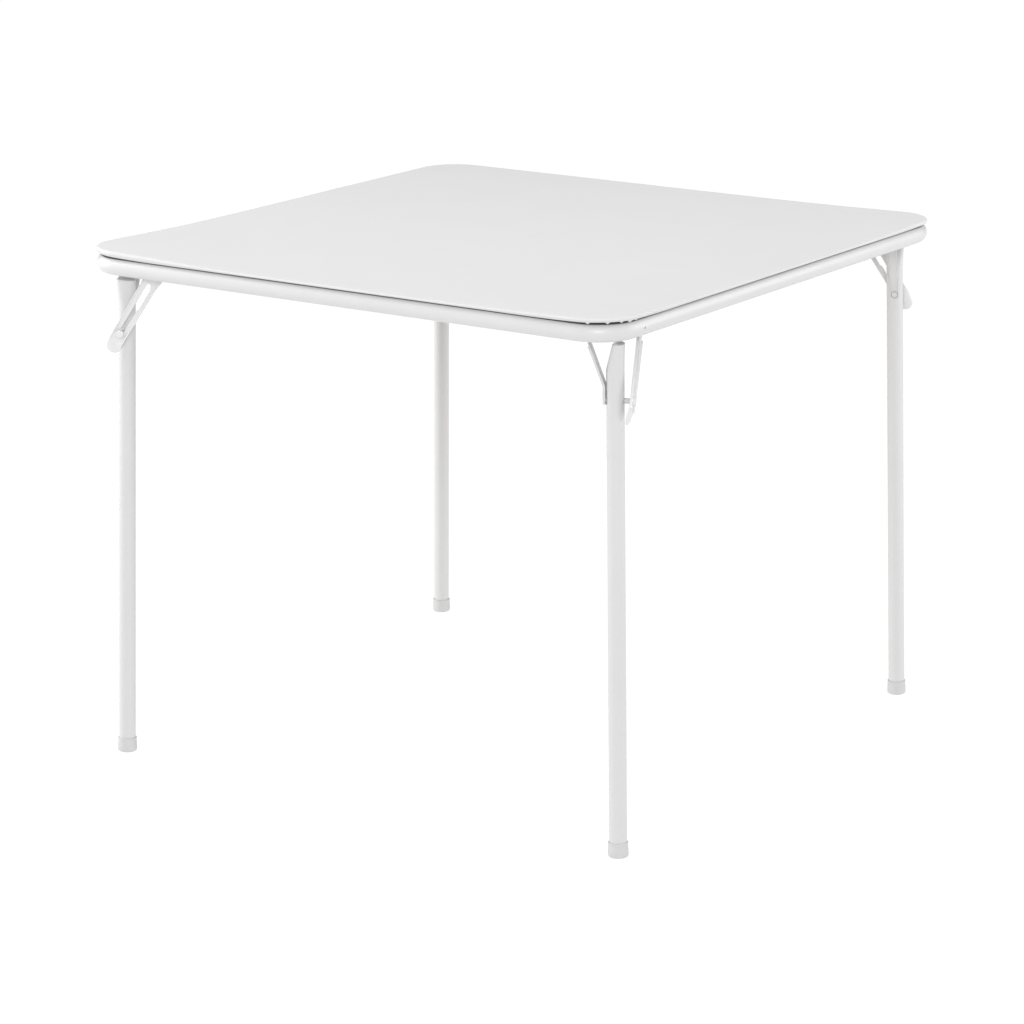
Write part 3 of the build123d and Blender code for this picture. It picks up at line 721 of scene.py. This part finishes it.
def leg_mesh():
    """The tube from its foot up, its swage, its shoulder and the round tip of its tongue."""
    rings = []
    for height in tube_heights:
        rounding = end_rounding if height == tube_end else 0.0
        rings.append(leg_ring(height - leg_reach, leg_radius - rounding, leg_radius, -leg_radius, 0))
    for step in range(swage_steps + 1):
        share = step / swage_steps
        height = -swage_start + (swage_start - shoulder_start) * share
        half_width = leg_radius + (shoulder_half - leg_radius) * share
        inner = leg_radius - (leg_radius - shoulder_side) * share
        rings.append(leg_ring(height, half_width, inner, -leg_radius, share / 2))
    for step in range(1, shoulder_steps + 1):
        share = step / shoulder_steps
        height = -shoulder_start + (shoulder_start - neck_start) * share
        half_width = shoulder_half + (tongue_half - shoulder_half) * eased(share)
        inner = shoulder_side + (tongue_sides[0] - shoulder_side) * eased(share)
        outer = -leg_radius + (tongue_sides[1] + leg_radius) * eased(share)
        rings.append(leg_ring(height, half_width, inner, outer, 0.5 + share / 2))
    for step in range(tip_steps):
        swing = math.pi / 2 * step / (tip_steps - 0.5)
        rings.append(leg_ring(tongue_half * math.sin(swing), tongue_half * math.cos(swing), *tongue_sides, 1))
    return ringed_mesh("leg_tube", rings)


for corner, corner_name in enumerate(corner_names):
    mesh = leg_mesh()
    mesh.transform(leg_place(corner))
    leg = show("painted_leg_" + corner_name, mesh, powder, "leg_" + corner_name,
               sharp_from=60)
    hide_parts("leg_tube_" + corner_name)

# Side stays.
# A narrow pressed channel on the inner side of each leg. It runs from the inner end of the
# hinge pin down to a rivet through the leg, and keeps the leg from twisting.
for corner in corner_names:
    dressed("side_stay_" + corner, powder, "leg_" + corner, edge=0.4 * mm)
    dressed("leg_rivet_" + corner, powder, "leg_" + corner)

# Lock braces.
# A slotted channel beside each leg, pressed from steel sheet with its long edges turned out,
# and a thumb tab at its end. The headed stud on the leg runs in its slot and locks at the end.
# Brace and stud carry a lighter copy of the frame's powder coat: painted light, as they are coated in the
# same white powder.
painted_light_powder = powder_coat("painted_light_powder_coat", 0.65, 0.68)
for corner in corner_names:
    dressed("lock_brace_" + corner, painted_light_powder, "brace_" + corner, edge=0.4 * mm)
    dressed("lock_stud_" + corner, painted_light_powder, "stud_" + corner)
    dressed("brace_rivet_" + corner, powder, "table_frame")

# Foot caps.
# Moulded white plastic pushed over the tube's end, a little wider at the floor, with a bead
# round its mouth and a rounded lower edge.
cap_profile = ((0.0, 0.9), (4.6, 0.9), (5.2, 0.3), (5.6, 0.0), (10.2, 0.0), (11.7, 0.22), (12.8, 0.95),
               (13.35, 2.2), (13.5, 3.8), (13.42, 8.0), (13.15, 12.5), (12.9, 16.2), (12.8, 17.0),
               (12.66, 17.35), (12.8, 17.7), (13.1, 18.1), (13.25, 18.7), (13.1, 19.35), (12.72, 19.85),
               (12.2, 20.0), (11.8, 19.85), (11.66, 19.4), (11.66, 4.0), (0.0, 3.98))
cap_steps = 64
cap_plastic = Finish("moulded_cap", roughness=0.5, specular_ior_level=0.45)
cap_tone = cap_plastic.noise(8 * mm, detail=3.0)
cap_plastic.feed("Base Color", cap_plastic.blend(cap_tone, grey(0.53), grey(0.56)))
cap_plastic.feed("Roughness", 0.44 + cap_tone * 0.12)
cap_plastic.raise_surface(cap_plastic.noise(0.5 * mm, detail=2.0), 0.03 * mm)


def lathe(name, profile, steps):
    """A profile of radius and height turned about Z, closed at both poles."""
    work = bmesh.new()
    rings = []
    for radius, height in profile:
        if radius == 0:
            rings.append([work.verts.new((0, 0, height * mm))])
            continue
        ring = []
        for index in range(steps):
            angle = 2 * math.pi * index / steps
            place = (radius * mm * math.cos(angle), radius * mm * math.sin(angle), height * mm)
            ring.append(work.verts.new(place))
        rings.append(ring)
    for first, second in zip(rings, rings[1:]):
        for index in range(steps):
            after = (index + 1) % steps
            face = [first[index % len(first)], first[after % len(first)],
                    second[after % len(second)], second[index % len(second)]]
            work.faces.new(list(dict.fromkeys(face)))
    bmesh.ops.recalc_face_normals(work, faces=work.faces)
    mesh = bpy.data.meshes.new(name)
    work.to_mesh(mesh)
    work.free()
    return mesh


for corner, corner_name in enumerate(corner_names):
    mesh = lathe("foot_cap", cap_profile, cap_steps)
    mesh.transform(leg_place(corner) @ Matrix.Translation((0, 0, -leg_reach * mm)))
    for vertex in mesh.vertices:
        vertex.co.z = max(vertex.co.z, 0.0)
    cap = show("moulded_cap_" + corner_name, mesh, cap_plastic, "leg_" + corner_name,
               sharp_from=40)
    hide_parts("foot_cap_" + corner_name)
